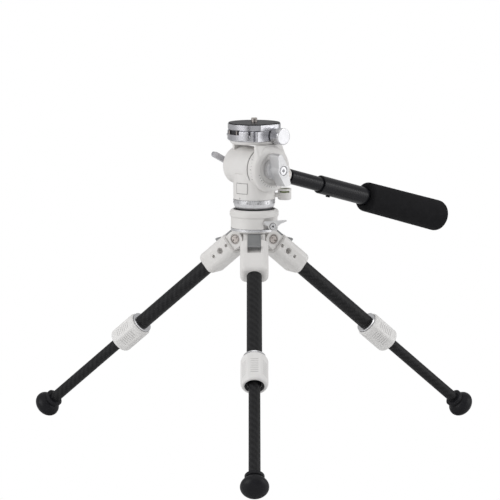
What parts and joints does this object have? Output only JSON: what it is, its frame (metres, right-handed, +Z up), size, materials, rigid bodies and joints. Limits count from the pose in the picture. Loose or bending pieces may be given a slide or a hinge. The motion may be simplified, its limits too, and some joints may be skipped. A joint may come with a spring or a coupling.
{
  "type": "tripod with fluid head",
  "caption": "Table tripod with carbon legs, twist locks, levelling cup, fluid pan and tilt head, dovetail quick release and sliding pan handle.",
  "frame": {"origin": "on the floor under the tripod's axis, midway between the three feet", "axes": "+Z up; -Y is the way the lens points; +Y is the pan handle's side; +X is the wing knob's side"},
  "size_m": [0.4859, 0.4653, 0.3508],
  "materials": {
    "white_coat": "satin, fine powder coat",
    "silver_trim": "satin turned and anodised",
    "clamp_aluminium": "satin anodised",
    "polished_knob": "polished, knurled rim",
    "grey_metal": "satin",
    "steel": "fine turned",
    "dark_steel": "oiled",
    "carbon_tube": "satin, fine carbon weave",
    "black_anodised": "satin black anodised",
    "black_rubber": "matt",
    "foam": "closed-cell foam, fine pores",
    "nylon": "matt",
    "vial_green": "clear green fluid"
  },
  "bodies": {
    "base": {"spider": "white_coat", "trim_ring": "silver_trim", "level_cup": "white_coat", "hinge_pins": "steel", "centre_bolt": "dark_steel"},
    "level_lever": {"level_lever": "clamp_aluminium", "lever_screw": "silver_trim"},
    "level_liner": {"level_liner": "nylon"},
    "level_ball": {"level_ball": "dark_steel", "pan_scale_ring": "silver_trim", "pan_shaft": "dark_steel"},
    "pan_head": {"pan_housing": "white_coat", "pan_cartridge": "nylon", "tilt_cartridge": "nylon", "badge": "white_coat", "bubble_cup": "white_coat", "bubble_vial": "vial_green"},
    "pan_lock": {"pan_lock_knob": "white_coat"},
    "cradle": {"cradle": "white_coat", "tilt_shaft": "dark_steel", "left_cap": "white_coat", "handle_pin": "steel", "clamp_body": "clamp_aluminium", "clamp_screws": "dark_steel", "lock_pins": "steel"},
    "wing_knob": {"wing_knob": "silver_trim", "wing_screw": "silver_trim"},
    "drag_lever": {"drag_lever": "clamp_aluminium"},
    "clamp_jaw": {"clamp_jaw": "clamp_aluminium"},
    "clamp_knob": {"clamp_knob": "polished_knob"},
    "qr_plate": {"qr_plate": "clamp_aluminium", "plate_pad": "black_rubber"},
    "camera_screw": {"camera_screw": "steel"},
    "handle_arm": {"handle_mount": "black_anodised", "handle_tube": "black_anodised"},
    "handle_slide": {"handle_sleeve": "black_anodised", "foam_grip": "foam"},
    "sleeve_button": {"sleeve_button": "black_anodised"},
    "leg_a": {"shoulder_a": "white_coat", "upper_tube_a": "carbon_tube", "lock_ring_a": "silver_trim"},
    "angle_tab_a": {"angle_tab_a": "grey_metal"},
    "twist_lock_a": {"twist_lock_a": "white_coat"},
    "lower_leg_a": {"lower_tube_a": "carbon_tube", "foot_a": "black_rubber"},
    "leg_b": {"shoulder_b": "white_coat", "upper_tube_b": "carbon_tube", "lock_ring_b": "silver_trim"},
    "angle_tab_b": {"angle_tab_b": "grey_metal"},
    "twist_lock_b": {"twist_lock_b": "white_coat"},
    "lower_leg_b": {"lower_tube_b": "carbon_tube", "foot_b": "black_rubber"},
    "leg_c": {"shoulder_c": "white_coat", "upper_tube_c": "carbon_tube", "lock_ring_c": "silver_trim"},
    "angle_tab_c": {"angle_tab_c": "grey_metal"},
    "twist_lock_c": {"twist_lock_c": "white_coat"},
    "lower_leg_c": {"lower_tube_c": "carbon_tube", "foot_c": "black_rubber"}
  },
  "joints": [
    {"name": "level_lever_swing", "type": "hinge", "parent": "base", "child": "level_lever", "pos_m": [0.02693, 0.00198, 0.2369], "axis": [0.9511, -0.309, 0], "range_deg": [0, 40]},
    {"name": "level_pitch", "type": "hinge", "parent": "base", "child": "level_liner", "pos_m": [0, 0, 0.254], "axis": [1, 0, 0], "range_deg": [-5, 5]},
    {"name": "level_roll", "type": "hinge", "parent": "level_liner", "child": "level_ball", "pos_m": [0, 0, 0.254], "axis": [0, 1, 0], "range_deg": [-5, 5]},
    {"name": "pan", "type": "hinge", "parent": "level_ball", "child": "pan_head", "pos_m": [0, 0, 0.264], "axis": [0, 0, 1], "continuous": true},
    {"name": "pan_lock_turn", "type": "hinge", "parent": "pan_head", "child": "pan_lock", "pos_m": [0, 0, 0.272], "axis": [-0.9659, 0.2588, 0], "range_deg": [-180, 180]},
    {"name": "tilt", "type": "hinge", "parent": "pan_head", "child": "cradle", "pos_m": [0, 0, 0.298], "axis": [1, 0, 0], "range_deg": [-22, 90]},
    {"name": "wing_knob_turn", "type": "hinge", "parent": "cradle", "child": "wing_knob", "pos_m": [0.04, 0, 0.298], "axis": [1, 0, 0], "range_deg": [-180, 180]},
    {"name": "drag_lever_swing", "type": "hinge", "parent": "cradle", "child": "drag_lever", "pos_m": [-0.038, 0, 0.298], "axis": [1, 0, 0], "range_deg": [-45, 60]},
    {"name": "jaw_open", "type": "slide", "parent": "cradle", "child": "clamp_jaw", "axis": [1, 0, 0], "range_m": [0, 0.0025]},
    {"name": "clamp_knob_turn", "type": "hinge", "parent": "clamp_jaw", "child": "clamp_knob", "pos_m": [0.03, 0.008, 0.3328], "axis": [1, 0, 0], "range_deg": [0, 720.1]},
    {"name": "plate_slide", "type": "slide", "parent": "cradle", "child": "qr_plate", "axis": [0, 1, 0], "range_m": [0, 0.05]},
    {"name": "camera_screw_turn", "type": "hinge", "parent": "qr_plate", "child": "camera_screw", "pos_m": [0, 0, 0.34], "axis": [0, 0, 1], "continuous": true},
    {"name": "handle_angle", "type": "hinge", "parent": "cradle", "child": "handle_arm", "pos_m": [0, 0.0366, 0.28778], "axis": [-1, 0, 0], "range_deg": [-50, 12]},
    {"name": "handle_extend", "type": "slide", "parent": "handle_arm", "child": "handle_slide", "axis": [0, 0.9632, -0.2689], "range_m": [-0.03, 0.05]},
    {"name": "sleeve_button_press", "type": "slide", "parent": "handle_slide", "child": "sleeve_button", "axis": [0, 0.2689, 0.9632], "range_m": [0, 0.001], "stiffness_N_per_m": 300},
    {"name": "leg_fold_a", "type": "hinge", "parent": "base", "child": "leg_a", "pos_m": [0.01318, -0.01106, 0.22047], "axis": [0.6428, 0.766, 0], "range_deg": [0, 42]},
    {"name": "angle_tab_pull_a", "type": "slide", "parent": "leg_a", "child": "angle_tab_a", "axis": [0.5919, -0.4967, -0.6347], "range_m": [0, 0.004], "stiffness_N_per_m": 300},
    {"name": "twist_lock_turn_a", "type": "hinge", "parent": "leg_a", "child": "twist_lock_a", "pos_m": [0.12032, -0.10096, 0.10558], "axis": [0.5919, -0.4967, -0.6347], "range_deg": [0, 90]},
    {"name": "leg_retract_a", "type": "slide", "parent": "leg_a", "child": "lower_leg_a", "axis": [-0.5919, 0.4967, 0.6347], "range_m": [0, 0.1]},
    {"name": "leg_fold_b", "type": "hinge", "parent": "base", "child": "leg_b", "pos_m": [0.00299, 0.01694, 0.22047], "axis": [-0.9848, 0.1736, 0], "range_deg": [0, 42]},
    {"name": "angle_tab_pull_b", "type": "slide", "parent": "leg_b", "child": "angle_tab_b", "axis": [0.1342, 0.761, -0.6347], "range_m": [0, 0.004], "stiffness_N_per_m": 300},
    {"name": "twist_lock_turn_b", "type": "hinge", "parent": "leg_b", "child": "twist_lock_b", "pos_m": [0.02727, 0.15468, 0.10558], "axis": [0.1342, 0.761, -0.6347], "range_deg": [0, 90]},
    {"name": "leg_retract_b", "type": "slide", "parent": "leg_b", "child": "lower_leg_b", "axis": [-0.1342, -0.761, 0.6347], "range_m": [0, 0.1]},
    {"name": "leg_fold_c", "type": "hinge", "parent": "base", "child": "leg_c", "pos_m": [-0.01616, -0.00588, 0.22047], "axis": [0.342, -0.9397, 0], "range_deg": [0, 42]},
    {"name": "angle_tab_pull_c", "type": "slide", "parent": "leg_c", "child": "angle_tab_c", "axis": [-0.7261, -0.2643, -0.6347], "range_m": [0, 0.004], "stiffness_N_per_m": 300},
    {"name": "twist_lock_turn_c", "type": "hinge", "parent": "leg_c", "child": "twist_lock_c", "pos_m": [-0.14759, -0.05372, 0.10558], "axis": [-0.7261, -0.2643, -0.6347], "range_deg": [0, 90]},
    {"name": "leg_retract_c", "type": "slide", "parent": "leg_c", "child": "lower_leg_c", "axis": [0.7261, 0.2643, 0.6347], "range_m": [0, 0.1]}
  ],
  "couplings": [
    {"joint": "clamp_knob_turn", "follows": "jaw_open", "rad_per_m": 5026.5}
  ]
}
